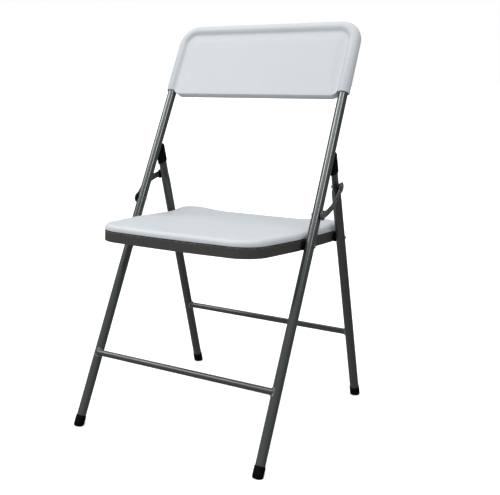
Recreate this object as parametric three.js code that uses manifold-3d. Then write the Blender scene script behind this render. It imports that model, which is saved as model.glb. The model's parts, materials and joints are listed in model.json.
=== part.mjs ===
// Folding chair: a steel tube frame with a moulded plastic seat and backrest.
// Millimetres, +Z up. The sitter faces -Y and X runs across the chair. Right and left are as
// seen from the front, so right is +X.
// A closed chain of front frame, link, rear leg and seat folds it flat on each side.

import * as THREE from "three";
import { mergeVertices } from "three/addons/utils/BufferGeometryUtils.js";
import Module from "manifold-3d";

const wasm = await Module();
wasm.setup();

// ---------------------------------------------------------------- driving dimensions

const GAP = 0.3; // left between pieces that touch
const deg = THREE.MathUtils.degToRad;

// tubes
const TUBE_R = 9.5;
const TUBE_WALL = 1.1;
const BAR_R = 6.35;
const BAR_WALL = 1.0;
const HALF_SPACING = 210; // tube centres from the middle plane, front and rear

// side view: the two legs lean towards each other, and pivots A, B and D set the fold
const FRONT_LEAN = deg(27.52); // from vertical, top to the back
const REAR_LEAN = deg(15.39); // from vertical, top to the front
const REAR_FOOT_Y = 451; // behind the front tube's centre, on the floor
const SEAT_PIVOT_Z = 386; // A, seat on the front tube
const LEG_PIVOT_Z = 377.3; // B, rear leg on the seat
const LINK_PIVOT_Z = 441.6; // D, link on the front tube
const STACK_OFFSET = 28; // rear leg centre behind the front tube when folded flat
const FRONT_BAR_Z = 138.6;
const FRONT_BAR_AHEAD = 7.5; // the front crossbar is welded ahead of the tubes' centres
const REAR_BAR_Z = 156.2;

// front frame, measured along the tube from the floor
const FRAME_TOP = 904;
const FRAME_BEND_R = 34;
const TAPER_START = 520; // above it the tubes lean in a little
const TOP_HALF_SPACING = 207;

// feet
const FOOT_R = 10.6;
const FOOT_LENGTH = 21;
const FOOT_SOLE = 4; // least rubber under the tube's end
const FOOT_BELOW = 2.5; // the moulded sole, before the floor wears it level
const FOOT_EDGE_R = 4.5;

// backrest, measured along the tube from the floor
const SLEEVE_R = 13;
const SLEEVE_BOTTOM = 756;
const PANEL_BOTTOM = 746;
const PANEL_THICKNESS = 19;
const PANEL_LIP_HALF = 195; // half width of the panel below the sleeves
const PANEL_LIP_CORNER = 16;
const PANEL_SHOULDER = 763; // where the panel widens into the sleeves
const BACKREST_WALL = 2;
const BACK_SCREW_U = 800;

// seat, in its own plane, from pivot A
const SEAT_TILT = deg(3.26); // front edge higher
const SEAT_HALF_WIDTH = 195.5; // along its parallel sides
const SEAT_TAPER_START = -14; // ahead of this the sides draw in
const SEAT_FRONT_HALF_WIDTH = 177.8;
const SEAT_FRONT = -175; // middle of the front edge
const SEAT_FRONT_CORNER_Y = -166; // where the front edge would meet the sides
const SEAT_FRONT_EDGE_R = 1790;
const SEAT_TAPER_R = 250;
const SEAT_CORNER_R = 58;
const SEAT_REAR = 195;
const SEAT_REAR_CORNER_R = 45;
const RIM_HEIGHT = 19.9;
const RIM_WALL = 1.5;
const RIM_FLANGE = 16;
const PAD_THICKNESS = 13.5; // above the rim
const PAD_CORNER = 20; // at the raised rear corners
const PAD_RISE_START = 105; // they rise backwards between these
const PAD_RISE_END = 162;
const PAD_RISE_INNER_X = 120; // and outwards between these
const PAD_RISE_OUTER_X = 176;
const PAD_SWEEP_R = 110; // easing into and out of the rise
const PAD_NOSE_R = 9; // rounding of the upper edges
const PAD_WALL = 2.2;
const PAD_VENT_R = 4;
const SEAT_SCREW_Y = { front: -60, rear: 125 };

// links: plates stamped with a sideways bow, one pattern used on both sides
const LINK_END_R = 10;
const LINK_WAIST = 12;
const LINK_THICKNESS = 2;
const LINK_BOW = 11;
const LINK_INNER_X = 221.5; // inner face from the middle plane

// rivets, spacers and screws
const RIVET_R = 3.2;
const PIVOT_HEAD = { r: 4.4, h: 1.4 }; // on the seat's pivots, low enough for the links to pass
const LINK_HEAD = { r: 7, h: 1.8 };
const RIVET_TAIL_R = 3.8;
const RIVET_TAIL_H = 0.8;
const SPACER_R = 10; // on the seat's pivots
const WASHER_R = 8; // under the links
const SCREW_R = 1.9;
const SCREW_HEAD_R = 4;
const SCREW_HEAD_H = 1.8;
const SCREW_HEAD_STRAIGHT = 0.6; // share of the head's radius and height short of its bevel
const SCREW_LENGTH = 11;

// rear leg tops, measured up the leg from the floor
const FLAT_START = 488;
const FLAT_END = 510;
const FLAT_HALF_THICKNESS = 4.5; // across the chair
const FLAT_HALF_WIDTH = 13; // along it
const CAP_BOTTOM = 533;
const CAP_TOP = 580;
const CAP_HALF_THICKNESS = 6.6;
const CAP_HALF_WIDTH = 15;
const CAP_SOCKET = 18; // how far the leg reaches into the cap

// facets
const TUBE_SIDES = 20;
const BAR_SIDES = 16;
const SMALL_SIDES = 16;
const HOLE_SIDES = 12;
const BEND_STEPS = 6;
const EDGE_STEPS = 4;

// ---------------------------------------------------------------- worked out from them

const SIDES = [
  { side: "right", sign: 1 },
  { side: "left", sign: -1 },
];
// Side view points are Vector2(y, z), with y from the front tube's centre on the floor.
const frontDirection = new THREE.Vector2(Math.sin(FRONT_LEAN), Math.cos(FRONT_LEAN));
const behindFront = new THREE.Vector2(Math.cos(FRONT_LEAN), -Math.sin(FRONT_LEAN));
const rearDirection = new THREE.Vector2(-Math.sin(REAR_LEAN), Math.cos(REAR_LEAN));
const aheadOfRear = new THREE.Vector2(-Math.cos(REAR_LEAN), -Math.sin(REAR_LEAN));
const rearFoot = new THREE.Vector2(REAR_FOOT_Y, 0);

const onFront = (z) => frontDirection.clone().multiplyScalar(z / frontDirection.y);
const onRear = (z) => rearDirection.clone().multiplyScalar(z / rearDirection.y).add(rearFoot);

const seatPivot = onFront(SEAT_PIVOT_Z);
const legPivot = onRear(LEG_PIVOT_Z);
const linkFrontPivot = onFront(LINK_PIVOT_Z);

// The link's rear pivot lies up the rear leg from B by the one distance that lets the leg lie
// parallel to the front tube, STACK_OFFSET behind it, when the chair is folded.
const seatSpan = legPivot.distanceTo(seatPivot);
const foldedLegPivot = seatPivot
  .clone()
  .addScaledVector(frontDirection, -Math.sqrt(seatSpan ** 2 - STACK_OFFSET ** 2))
  .addScaledVector(behindFront, STACK_OFFSET);
const openReach = legPivot.clone().sub(linkFrontPivot);
const foldedReach = foldedLegPivot.clone().sub(linkFrontPivot);
const legPivotToLink =
  (openReach.lengthSq() - foldedReach.lengthSq()) /
  (2 * (frontDirection.dot(foldedReach) - rearDirection.dot(openReach)));
const linkRearPivot = legPivot.clone().addScaledVector(rearDirection, legPivotToLink);

// Distances of the pivots up their own tubes.
const seatPivotU = seatPivot.length();
const linkFrontU = linkFrontPivot.length();
const legPivotS = legPivot.distanceTo(rearFoot);
const linkRearS = linkRearPivot.distanceTo(rearFoot);
const frontBarU = (FRONT_BAR_Z - FRONT_BAR_AHEAD * Math.sin(FRONT_LEAN)) / Math.cos(FRONT_LEAN);
const rearBarS = REAR_BAR_Z / Math.cos(REAR_LEAN);

const tubeOuterX = HALF_SPACING + TUBE_R;
const tubeInnerX = HALF_SPACING - TUBE_R;
const linkOuterX = LINK_INNER_X + LINK_THICKNESS;
const rimInnerX = SEAT_HALF_WIDTH - RIM_WALL;

// ---------------------------------------------------------------- materials

const paint = (color, roughness, metalness) =>
  new THREE.MeshStandardMaterial({ color, roughness, metalness });
const framePaint = paint(0x6d6f70, 0.42, 0.55);
const rimPaint = paint(0x4f4e4c, 0.5, 0.4);
const linkPaint = paint(0x4a4c4b, 0.45, 0.5);
const palePlastic = paint(0xd6dade, 0.55, 0);
const blackPlastic = paint(0x101011, 0.6, 0);
const blackRubber = paint(0x0c0c0d, 0.8, 0);
const zincSteel = paint(0x8b8d8f, 0.35, 0.9);

// ---------------------------------------------------------------- solids

function solid(geometry) {
  const bare = geometry.clone();
  bare.deleteAttribute("normal");
  bare.deleteAttribute("uv");
  const merged = mergeVertices(bare, 1e-4);
  return new wasm.Manifold(
    new wasm.Mesh({
      numProp: 3,
      vertProperties: merged.attributes.position.array,
      triVerts: new Uint32Array(merged.index.array),
    }),
  );
}

function geometryOf(made) {
  const mesh = made.getMesh();
  return new THREE.BufferGeometry()
    .setAttribute("position", new THREE.BufferAttribute(mesh.vertProperties, 3))
    .setIndex(new THREE.BufferAttribute(mesh.triVerts, 1));
}

const subtract = (geometry, cutters) =>
  geometryOf(cutters.reduce((made, cutter) => made.subtract(solid(cutter)), solid(geometry)));

function addMesh(group, name, geometry, material) {
  const mesh = new THREE.Mesh(geometry, material);
  mesh.name = name;
  group.add(mesh);
  return mesh;
}

// A path known at its stations, so that a long straight run costs one extrusion step.
class StationPath extends THREE.Curve {
  constructor(points, tangents) {
    super();
    this.points = points;
    this.tangents = tangents;
  }
  station(t) {
    return Math.round(t * (this.points.length - 1));
  }
  getPoint(t) {
    return this.points[this.station(t)].clone();
  }
  getTangent(t) {
    return this.tangents[this.station(t)].clone();
  }
  getUtoTmapping(u) {
    return u;
  }
}

// The inverted U of the front frame in the plane of its own X and Z, from startU up.
function framePath(startU) {
  const centreX = TOP_HALF_SPACING - FRAME_BEND_R;
  const centreU = FRAME_TOP - FRAME_BEND_R;
  const stations = [];
  const add = (x, u, tangentX, tangentU) =>
    stations.push({
      point: new THREE.Vector3(x, 0, u),
      tangent: new THREE.Vector3(tangentX, 0, tangentU).normalize(),
    });
  const straight = startU < TAPER_START ? [startU, TAPER_START] : [startU];
  for (const u of straight) add(tubeHalfSpacing(u), u, 0, 1);
  for (const { sign } of SIDES) {
    for (let i = 0; i <= BEND_STEPS; i++) {
      const turn = (i / BEND_STEPS) * (Math.PI / 2);
      const angle = sign > 0 ? turn : Math.PI / 2 + turn;
      const x = sign * centreX + FRAME_BEND_R * Math.cos(angle);
      const u = centreU + FRAME_BEND_R * Math.sin(angle);
      add(x, u, -Math.sin(angle), Math.cos(angle));
    }
  }
  for (const u of straight.reverse()) add(-tubeHalfSpacing(u), u, 0, -1);
  return new StationPath(
    stations.map(({ point }) => point),
    stations.map(({ tangent }) => tangent),
  );
}

// How far the front tube's centre is from the middle plane at a height up it.
function tubeHalfSpacing(u) {
  const along = THREE.MathUtils.mapLinear(u, TAPER_START, FRAME_TOP - FRAME_BEND_R, 0, 1);
  return THREE.MathUtils.lerp(HALF_SPACING, TOP_HALF_SPACING, Math.max(along, 0));
}

// A closed outline from corners with a radius each, listed counter-clockwise and moved
// inwards by inset.
function roundedOutline(corners, inset = 0) {
  const count = corners.length;
  const edges = corners.map((corner, i) => {
    const next = corners[(i + 1) % count];
    const along = new THREE.Vector2(next.x - corner.x, next.y - corner.y).normalize();
    const inward = new THREE.Vector2(-along.y, along.x);
    const through = new THREE.Vector2(corner.x, corner.y).addScaledVector(inward, inset);
    return { along, inward, through };
  });
  const shape = new THREE.Shape();
  corners.forEach((corner, i) => {
    const before = edges[(i + count - 1) % count];
    const after = edges[i];
    const sine = before.along.cross(after.along);
    const turn = Math.atan2(sine, before.along.dot(after.along));
    const across = after.through.clone().sub(before.through);
    const along = across.cross(after.along) / sine;
    const vertex = before.through.clone().addScaledVector(before.along, along);
    const radius = Math.max(corner.r - Math.sign(turn) * inset, 0);
    const reach = radius * Math.tan(Math.abs(turn) / 2);
    const start = vertex.clone().addScaledVector(before.along, -reach);
    if (i === 0) shape.moveTo(start.x, start.y);
    else shape.lineTo(start.x, start.y);
    if (radius > 0) {
      const centre = start.clone().addScaledVector(before.inward, Math.sign(turn) * radius);
      const from = start.clone().sub(centre).angle();
      shape.absarc(centre.x, centre.y, radius, from, from + turn, turn < 0);
    }
  });
  shape.closePath();
  return shape;
}

function circlePoints(radius, sides) {
  return Array.from({ length: sides }, (_, i) => {
    const angle = (i / sides) * 2 * Math.PI;
    return new THREE.Vector2(radius * Math.cos(angle), radius * Math.sin(angle));
  });
}

function sweep(path, outerR, innerR = 0) {
  const section = new THREE.Shape(circlePoints(outerR, TUBE_SIDES));
  if (innerR > 0) section.holes.push(new THREE.Path(circlePoints(innerR, TUBE_SIDES)));
  return new THREE.ExtrudeGeometry(section, {
    steps: path.points.length - 1,
    extrudePath: path,
    bevelEnabled: false,
  });
}

// A turned piece about the Z axis. The profile is a list of [radius, height] pairs.
function turned(profile, sides) {
  const points = profile.map(([radius, height]) => new THREE.Vector2(radius, height));
  return new THREE.LatheGeometry(points, sides).rotateX(Math.PI / 2);
}

// A pipe along Z with a ring of points at each given height.
function pipe(outerR, wall, heights, sides) {
  const innerR = outerR - wall;
  const up = heights.map((height) => [outerR, height]);
  const down = heights.map((height) => [innerR, height]).reverse();
  return turned([...up, ...down, up[0]], sides);
}

// A screw's clearance hole from height 0 up.
const drill = (depth) =>
  turned([[0, 0], [SCREW_R + GAP, 0], [SCREW_R + GAP, depth], [0, depth]], HOLE_SIDES);

const towardsX = (geometry, sign) => geometry.rotateY((sign * Math.PI) / 2);

// A cylinder across the chair at side view point (y, z) of whatever group it is in.
function crossPin(radius, fromX, toX, y, z, sides = HOLE_SIDES) {
  return new THREE.CylinderGeometry(radius, radius, Math.abs(toX - fromX), sides)
    .rotateZ(Math.PI / 2)
    .translate((fromX + toX) / 2, y, z);
}

// An outline in the YZ plane made into a plate between two X positions.
function sidePlate(shape, fromX, toX, curveSegments) {
  const turn = new THREE.Matrix4().makeBasis(
    new THREE.Vector3(0, 1, 0),
    new THREE.Vector3(0, 0, 1),
    new THREE.Vector3(1, 0, 0),
  );
  return new THREE.ExtrudeGeometry(shape, {
    depth: toX - fromX,
    bevelEnabled: false,
    curveSegments,
  })
    .applyMatrix4(turn)
    .translate(fromX, 0, 0);
}

// An outline in the XY plane made into a slab between two heights.
const slab = (shape, fromZ, toZ, curveSegments) =>
  new THREE.ExtrudeGeometry(shape, {
    depth: toZ - fromZ,
    bevelEnabled: false,
    curveSegments,
  }).translate(0, 0, fromZ);

// A rivet from its tail to its domed head. Heights run outwards across the chair.
function rivet(tailX, headX, head, sign) {
  const profile = [...rivetTail(tailX), [RIVET_R, headX], ...rivetHead(headX, head)];
  return towardsX(turned(profile, SMALL_SIDES), sign);
}

const rivetTail = (tailX) => [
  [0, tailX - RIVET_TAIL_H],
  [RIVET_TAIL_R, tailX - RIVET_TAIL_H],
  [RIVET_TAIL_R, tailX],
  [RIVET_R, tailX],
];

// The dome as shares of the head's radius and height.
const HEAD_DOME = [
  [1, 0],
  [0.9, 0.55],
  [0.5, 0.93],
  [0, 1],
];
const rivetHead = (headX, head) =>
  HEAD_DOME.map(([out, up]) => [head.r * out, headX + head.h * up]);

// A ring round a rivet between two X positions.
function spacer(radius, fromX, toX, sign) {
  const bore = RIVET_R + GAP;
  const profile = [
    [bore, fromX],
    [radius, fromX],
    [radius, toX],
    [bore, toX],
    [bore, fromX],
  ];
  return towardsX(turned(profile, SMALL_SIDES), sign);
}

// A rubber foot on a tube that leans by lean, rounded below and worn level with the floor.
function foot(lean) {
  const tubeEnd = footTubeEnd(lean);
  const profile = [[0, -FOOT_BELOW]];
  for (let i = 0; i <= EDGE_STEPS; i++) {
    const angle = ((i / EDGE_STEPS - 1) * Math.PI) / 2;
    profile.push([
      FOOT_R - FOOT_EDGE_R + FOOT_EDGE_R * Math.cos(angle),
      -FOOT_BELOW + FOOT_EDGE_R + FOOT_EDGE_R * Math.sin(angle),
    ]);
  }
  profile.push(
    [FOOT_R, FOOT_LENGTH],
    [TUBE_R + GAP, FOOT_LENGTH],
    [TUBE_R + GAP, tubeEnd - GAP],
    [0, tubeEnd - GAP],
  );
  const reach = 4 * FOOT_R;
  const underFloor = new THREE.BoxGeometry(reach, reach, reach)
    .translate(0, 0, -reach / 2)
    .rotateX(-lean);
  return subtract(turned(profile, TUBE_SIDES), [underFloor]);
}

// How far up its own axis a leaning tube starts inside its foot.
const footTubeEnd = (lean) => FOOT_R * Math.tan(Math.abs(lean)) + FOOT_SOLE;

// A pipe from side to side, this far ahead of the two tubes' centres, its ends coped to them.
function crossBar(ahead) {
  const bar = towardsX(pipe(BAR_R, BAR_WALL, [-HALF_SPACING, HALF_SPACING], BAR_SIDES), 1);
  const copeHeight = 6 * BAR_R; // well above and below the bar
  const copes = SIDES.map(({ sign }) =>
    new THREE.CylinderGeometry(TUBE_R + GAP, TUBE_R + GAP, copeHeight, TUBE_SIDES)
      .rotateX(Math.PI / 2)
      .translate(sign * HALF_SPACING, ahead, 0),
  );
  const cut = copes.reduce((made, cope) => made.subtract(solid(cope)), solid(bar));
  const middle = cut.decompose().sort((a, b) => b.volume() - a.volume())[0];
  return geometryOf(middle);
}

// ---------------------------------------------------------------- front frame

const chair = new THREE.Group();
const upright = new THREE.Group();
chair.add(upright);

const frontFrame = new THREE.Group(); // its Z runs up the front tube
frontFrame.rotation.x = -FRONT_LEAN;
upright.add(frontFrame);

function screw() {
  const profile = [
    [0, -SCREW_LENGTH],
    [SCREW_R, -SCREW_LENGTH],
    [SCREW_R, 0],
    [SCREW_HEAD_R, 0],
    [SCREW_HEAD_R, SCREW_HEAD_H * SCREW_HEAD_STRAIGHT],
    [SCREW_HEAD_R * SCREW_HEAD_STRAIGHT, SCREW_HEAD_H],
    [0, SCREW_HEAD_H],
  ];
  return turned(profile, HOLE_SIDES);
}

const towardsBack = (geometry) => geometry.rotateX(-Math.PI / 2);
const backScrewSeat = SLEEVE_R - SCREW_HEAD_H; // head lies flush in the sleeve
const backScrewX = tubeHalfSpacing(BACK_SCREW_U);

function frameTube() {
  const tube = sweep(framePath(footTubeEnd(FRONT_LEAN)), TUBE_R, TUBE_R - TUBE_WALL);
  const holes = [];
  for (const { sign } of SIDES) {
    for (const u of [seatPivotU, linkFrontU]) {
      const centre = sign * HALF_SPACING;
      holes.push(crossPin(RIVET_R + GAP, centre - 2 * TUBE_R, centre + 2 * TUBE_R, 0, u));
    }
    holes.push(towardsBack(drill(SLEEVE_R)).translate(sign * backScrewX, 0, BACK_SCREW_U));
  }
  return subtract(tube, holes);
}

// The moulded panel's outline in X and up the tube. It stands in the sleeves' centres, and its
// lower edge hangs between the tubes.
function panelOutline(inset) {
  const shoulderX = tubeHalfSpacing(PANEL_SHOULDER);
  const rightHalf = [
    { x: PANEL_LIP_HALF, y: PANEL_BOTTOM, r: PANEL_LIP_CORNER },
    { x: PANEL_LIP_HALF, y: PANEL_SHOULDER, r: 0 },
    { x: shoulderX, y: PANEL_SHOULDER, r: 0 },
    { x: TOP_HALF_SPACING, y: FRAME_TOP, r: FRAME_BEND_R },
  ];
  const leftHalf = rightHalf.map(({ x, y, r }) => ({ x: -x, y, r })).reverse();
  return roundedOutline([...rightHalf, ...leftHalf], inset);
}

function backrest() {
  const plate = (inset) =>
    slab(panelOutline(inset), inset - PANEL_THICKNESS / 2, PANEL_THICKNESS / 2 - inset, BEND_STEPS)
      .rotateX(Math.PI / 2);
  const outside = solid(sweep(framePath(SLEEVE_BOTTOM), SLEEVE_R)).add(solid(plate(0)));
  const channel = solid(sweep(framePath(SLEEVE_BOTTOM - TUBE_R), TUBE_R + GAP));
  let shell = outside.subtract(channel).subtract(solid(plate(BACKREST_WALL)));
  for (const { sign } of SIDES) {
    const hole = [
      [0, 0],
      [SCREW_R + GAP, 0],
      [SCREW_R + GAP, backScrewSeat - GAP],
      [SCREW_HEAD_R + GAP, backScrewSeat - GAP],
      [SCREW_HEAD_R + GAP, 2 * SLEEVE_R],
      [0, 2 * SLEEVE_R],
    ];
    const cutter = towardsBack(turned(hole, HOLE_SIDES));
    shell = shell.subtract(solid(cutter.translate(sign * backScrewX, 0, BACK_SCREW_U)));
  }
  return geometryOf(shell);
}

addMesh(frontFrame, "front_frame_tube", frameTube(), framePaint);
const frontBar = addMesh(frontFrame, "front_crossbar", crossBar(FRONT_BAR_AHEAD), framePaint);
frontBar.position.set(0, -FRONT_BAR_AHEAD, frontBarU);
addMesh(frontFrame, "backrest_shell", backrest(), palePlastic);
for (const { side, sign } of SIDES) {
  addMesh(frontFrame, `front_foot_${side}`, foot(-FRONT_LEAN), blackRubber).position.x =
    sign * HALF_SPACING;
  addMesh(frontFrame, `backrest_screw_${side}`, towardsBack(screw()), zincSteel).position.set(
    sign * backScrewX,
    backScrewSeat,
    BACK_SCREW_U,
  );
  addMesh(
    frontFrame,
    `seat_pivot_rivet_${side}`,
    rivet(rimInnerX - GAP, tubeOuterX + GAP, PIVOT_HEAD, sign),
    zincSteel,
  ).position.z = seatPivotU;
  addMesh(
    frontFrame,
    `front_link_rivet_${side}`,
    rivet(tubeInnerX - GAP, linkOuterX + GAP, LINK_HEAD, sign),
    zincSteel,
  ).position.z = linkFrontU;
  addMesh(
    frontFrame,
    `front_link_spacer_${side}`,
    spacer(WASHER_R, tubeOuterX + GAP, LINK_INNER_X - GAP, sign),
    blackPlastic,
  ).position.z = linkFrontU;
}

// ---------------------------------------------------------------- seat

const seat = new THREE.Group(); // its origin is pivot A
seat.position.set(0, seatPivot.x, seatPivot.y);
seat.rotation.x = -SEAT_TILT;
upright.add(seat);

// The seat's plan outline: parallel beside the pivots, drawn in towards a slightly bowed front.
function seatOutline(inset) {
  const rightHalf = [
    { x: SEAT_FRONT_HALF_WIDTH, y: SEAT_FRONT_CORNER_Y, r: SEAT_CORNER_R },
    { x: SEAT_HALF_WIDTH, y: SEAT_TAPER_START, r: SEAT_TAPER_R },
    { x: SEAT_HALF_WIDTH, y: SEAT_REAR, r: SEAT_REAR_CORNER_R },
  ];
  const leftHalf = rightHalf.map(({ x, y, r }) => ({ x: -x, y, r })).reverse();
  const frontMiddle = { x: 0, y: SEAT_FRONT, r: SEAT_FRONT_EDGE_R };
  return roundedOutline([frontMiddle, ...rightHalf, ...leftHalf], inset);
}

// Pivot B in the seat's own plane.
const legPivotInSeat = legPivot.clone().sub(seatPivot).rotateAround(new THREE.Vector2(), SEAT_TILT);

// An angle section bent round the seat: a standing band with a flange under the pad.
function seatRim() {
  const ring = (inset, fromZ, toZ) => {
    const shape = seatOutline(0);
    shape.holes.push(new THREE.Path(seatOutline(inset).getPoints(BEND_STEPS)));
    return slab(shape, fromZ, toZ, BEND_STEPS);
  };
  const band = solid(ring(RIM_WALL, -RIM_HEIGHT / 2, RIM_HEIGHT / 2));
  const flange = solid(ring(RIM_FLANGE, RIM_HEIGHT / 2 - RIM_WALL, RIM_HEIGHT / 2));
  const pinHoles = [new THREE.Vector2(), legPivotInSeat].map((pivot) =>
    crossPin(RIVET_R + GAP, -SEAT_HALF_WIDTH - RIM_WALL, SEAT_HALF_WIDTH + RIM_WALL, pivot.x, pivot.y),
  );
  const screwHoles = seatScrewPlaces().map(({ x, y }) => drill(RIM_HEIGHT).translate(x, y, 0));
  return subtract(geometryOf(band.add(flange)), [...pinHoles, ...screwHoles]);
}

// The screws stand in the middle of the flange.
function seatScrewPlaces() {
  return SIDES.flatMap(({ side, sign }) =>
    Object.entries(SEAT_SCREW_Y).map(([end, y]) => {
      const x = sign * (seatHalfWidth(y) - RIM_FLANGE / 2);
      return { name: `${end}_${side}`, x, y };
    }),
  );
}

function seatHalfWidth(y) {
  const along = THREE.MathUtils.mapLinear(y, SEAT_TAPER_START, SEAT_FRONT_CORNER_Y, 0, 1);
  return THREE.MathUtils.lerp(SEAT_HALF_WIDTH, SEAT_FRONT_HALF_WIDTH, Math.max(along, 0));
}

const padBase = RIM_HEIGHT / 2 + GAP;

// The pad's side view: flat below and level on top, rising towards the rear.
function padSide(inset) {
  const corners = [
    { x: SEAT_FRONT, y: padBase, r: 0 },
    { x: SEAT_REAR, y: padBase, r: 0 },
    { x: SEAT_REAR, y: padBase + PAD_CORNER, r: PAD_NOSE_R },
    { x: PAD_RISE_END, y: padBase + PAD_CORNER, r: PAD_SWEEP_R },
    { x: PAD_RISE_START, y: padBase + PAD_THICKNESS, r: PAD_SWEEP_R },
    { x: SEAT_FRONT, y: padBase + PAD_THICKNESS, r: PAD_NOSE_R },
  ];
  return roundedOutline(corners, inset);
}

// The pad's rear view: level between its raised sides.
function padRear(inset) {
  const rightHalf = [
    { x: SEAT_HALF_WIDTH, y: padBase, r: 0 },
    { x: SEAT_HALF_WIDTH, y: padBase + PAD_CORNER, r: PAD_NOSE_R },
    { x: PAD_RISE_OUTER_X, y: padBase + PAD_CORNER, r: PAD_SWEEP_R },
    { x: PAD_RISE_INNER_X, y: padBase + PAD_THICKNESS, r: PAD_SWEEP_R },
  ];
  const leftHalf = rightHalf.map(({ x, y, r }) => ({ x: -x, y, r })).reverse();
  return roundedOutline([...rightHalf, ...leftHalf], inset);
}

// The pad is what its three outlines have in common, hollow, with a vent below.
function seatPad() {
  const cover = (inset) => {
    const half = SEAT_HALF_WIDTH - inset;
    const side = solid(sidePlate(padSide(inset), -half, half, BEND_STEPS));
    const rear = slab(padRear(inset), inset - SEAT_REAR, -SEAT_FRONT - inset, BEND_STEPS);
    const plan = solid(slab(seatOutline(inset), 0, RIM_HEIGHT + PAD_CORNER, BEND_STEPS));
    return side.intersect(solid(rear.rotateX(Math.PI / 2))).intersect(plan);
  };
  const vent = turned([[0, 0], [PAD_VENT_R, 0], [PAD_VENT_R, RIM_HEIGHT], [0, RIM_HEIGHT]], HOLE_SIDES);
  let pad = cover(0).subtract(cover(PAD_WALL)).subtract(solid(vent));
  for (const { x, y } of seatScrewPlaces()) {
    pad = pad.subtract(solid(drill(RIM_HEIGHT).translate(x, y, 0)));
  }
  return geometryOf(pad);
}

addMesh(seat, "seat_rim", seatRim(), rimPaint);
addMesh(seat, "seat_pad", seatPad(), palePlastic);
for (const { name, x, y } of seatScrewPlaces()) {
  // The screw points up through the flange, with its head below.
  addMesh(seat, `seat_screw_${name}`, screw().rotateX(Math.PI), zincSteel).position.set(
    x,
    y,
    RIM_HEIGHT / 2 - RIM_WALL - GAP,
  );
}
for (const { side, sign } of SIDES) {
  const places = { seat_pivot: new THREE.Vector2(), leg_pivot: legPivotInSeat };
  for (const [place, pivot] of Object.entries(places)) {
    addMesh(
      seat,
      `${place}_spacer_${side}`,
      spacer(SPACER_R, SEAT_HALF_WIDTH + GAP, tubeInnerX - GAP, sign),
      blackPlastic,
    ).position.set(0, pivot.x, pivot.y);
  }
  addMesh(
    seat,
    `leg_pivot_rivet_${side}`,
    rivet(rimInnerX - GAP, tubeOuterX + GAP, PIVOT_HEAD, sign),
    zincSteel,
  ).position.set(0, legPivotInSeat.x, legPivotInSeat.y);
}

// ---------------------------------------------------------------- rear legs

const rearLegs = new THREE.Group(); // its Z runs up the rear leg
rearLegs.position.y = REAR_FOOT_Y;
rearLegs.rotation.x = REAR_LEAN;
upright.add(rearLegs);

// How far the leg's top is flattened at a height up it, from 0 to 1.
const flattening = (height) => THREE.MathUtils.smoothstep(height, FLAT_START, FLAT_END);
const legHalfThickness = (height) => THREE.MathUtils.lerp(TUBE_R, FLAT_HALF_THICKNESS, flattening(height));
const legHalfWidth = (height) => THREE.MathUtils.lerp(TUBE_R, FLAT_HALF_WIDTH, flattening(height));

function rearLeg() {
  const top = CAP_BOTTOM + CAP_SOCKET;
  const heights = [footTubeEnd(REAR_LEAN)];
  for (let i = 0; i <= BEND_STEPS; i++) {
    heights.push(THREE.MathUtils.lerp(FLAT_START, FLAT_END, i / BEND_STEPS));
  }
  heights.push(top);
  const leg = pipe(TUBE_R, TUBE_WALL, heights, TUBE_SIDES);
  const place = leg.attributes.position;
  for (let i = 0; i < place.count; i++) {
    const height = place.getZ(i);
    const radius = Math.hypot(place.getX(i), place.getY(i));
    const inside = TUBE_R - radius;
    place.setX(i, (place.getX(i) / radius) * (legHalfThickness(height) - inside));
    place.setY(i, (place.getY(i) / radius) * (legHalfWidth(height) - inside));
  }
  return subtract(leg, [
    crossPin(RIVET_R + GAP, -2 * TUBE_R, 2 * TUBE_R, 0, legPivotS),
    crossPin(RIVET_R + GAP, -2 * TUBE_R, 2 * TUBE_R, 0, linkRearS),
  ]);
}

// The cap on the leg's top: an oval sleeve cut off along the front tube's back, which it rests
// on when the chair is open.
function legCap() {
  const oval = (halfThickness, halfWidth, bottom, top) =>
    turned([[0, bottom], [1, bottom], [1, top], [0, top]], TUBE_SIDES).scale(halfThickness, halfWidth, 1);
  const cap = oval(CAP_HALF_THICKNESS, CAP_HALF_WIDTH, CAP_BOTTOM, CAP_TOP);
  const socketTop = CAP_BOTTOM + CAP_SOCKET + GAP;
  const socket = oval(FLAT_HALF_THICKNESS + GAP, FLAT_HALF_WIDTH + GAP, FLAT_START, socketTop);
  const reach = 4 * CAP_HALF_WIDTH;
  const tubeSide = new THREE.BoxGeometry(reach, reach, 2 * CAP_TOP)
    .translate(0, TUBE_R + GAP - reach / 2, CAP_TOP)
    .applyMatrix4(frontFrame.matrix)
    .applyMatrix4(rearLegs.matrix.clone().invert());
  return subtract(cap, [socket, tubeSide]);
}

frontFrame.updateMatrix();
rearLegs.updateMatrix();
addMesh(rearLegs, "rear_crossbar", crossBar(0), framePaint).position.z = rearBarS;
for (const { side, sign } of SIDES) {
  addMesh(rearLegs, `rear_leg_${side}`, rearLeg(), framePaint).position.x = sign * HALF_SPACING;
  addMesh(rearLegs, `rear_foot_${side}`, foot(REAR_LEAN), blackRubber).position.x =
    sign * HALF_SPACING;
  addMesh(rearLegs, `rear_leg_cap_${side}`, legCap(), blackPlastic).position.x = sign * HALF_SPACING;
  const legFace = legHalfThickness(linkRearS - WASHER_R);
  addMesh(
    rearLegs,
    `rear_link_spacer_${side}`,
    spacer(WASHER_R, HALF_SPACING + legFace + GAP, LINK_INNER_X - GAP, sign),
    blackPlastic,
  ).position.z = linkRearS;
  // The inner half of the rivet: its tail, and its shank up to the link.
  const shank = [
    ...rivetTail(HALF_SPACING - legFace - GAP),
    [RIVET_R, LINK_INNER_X - GAP],
    [0, LINK_INNER_X - GAP],
  ];
  addMesh(
    rearLegs,
    `rear_link_rivet_shank_${side}`,
    towardsX(turned(shank, SMALL_SIDES), sign),
    zincSteel,
  ).position.z = linkRearS;
}

// ---------------------------------------------------------------- links

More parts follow.
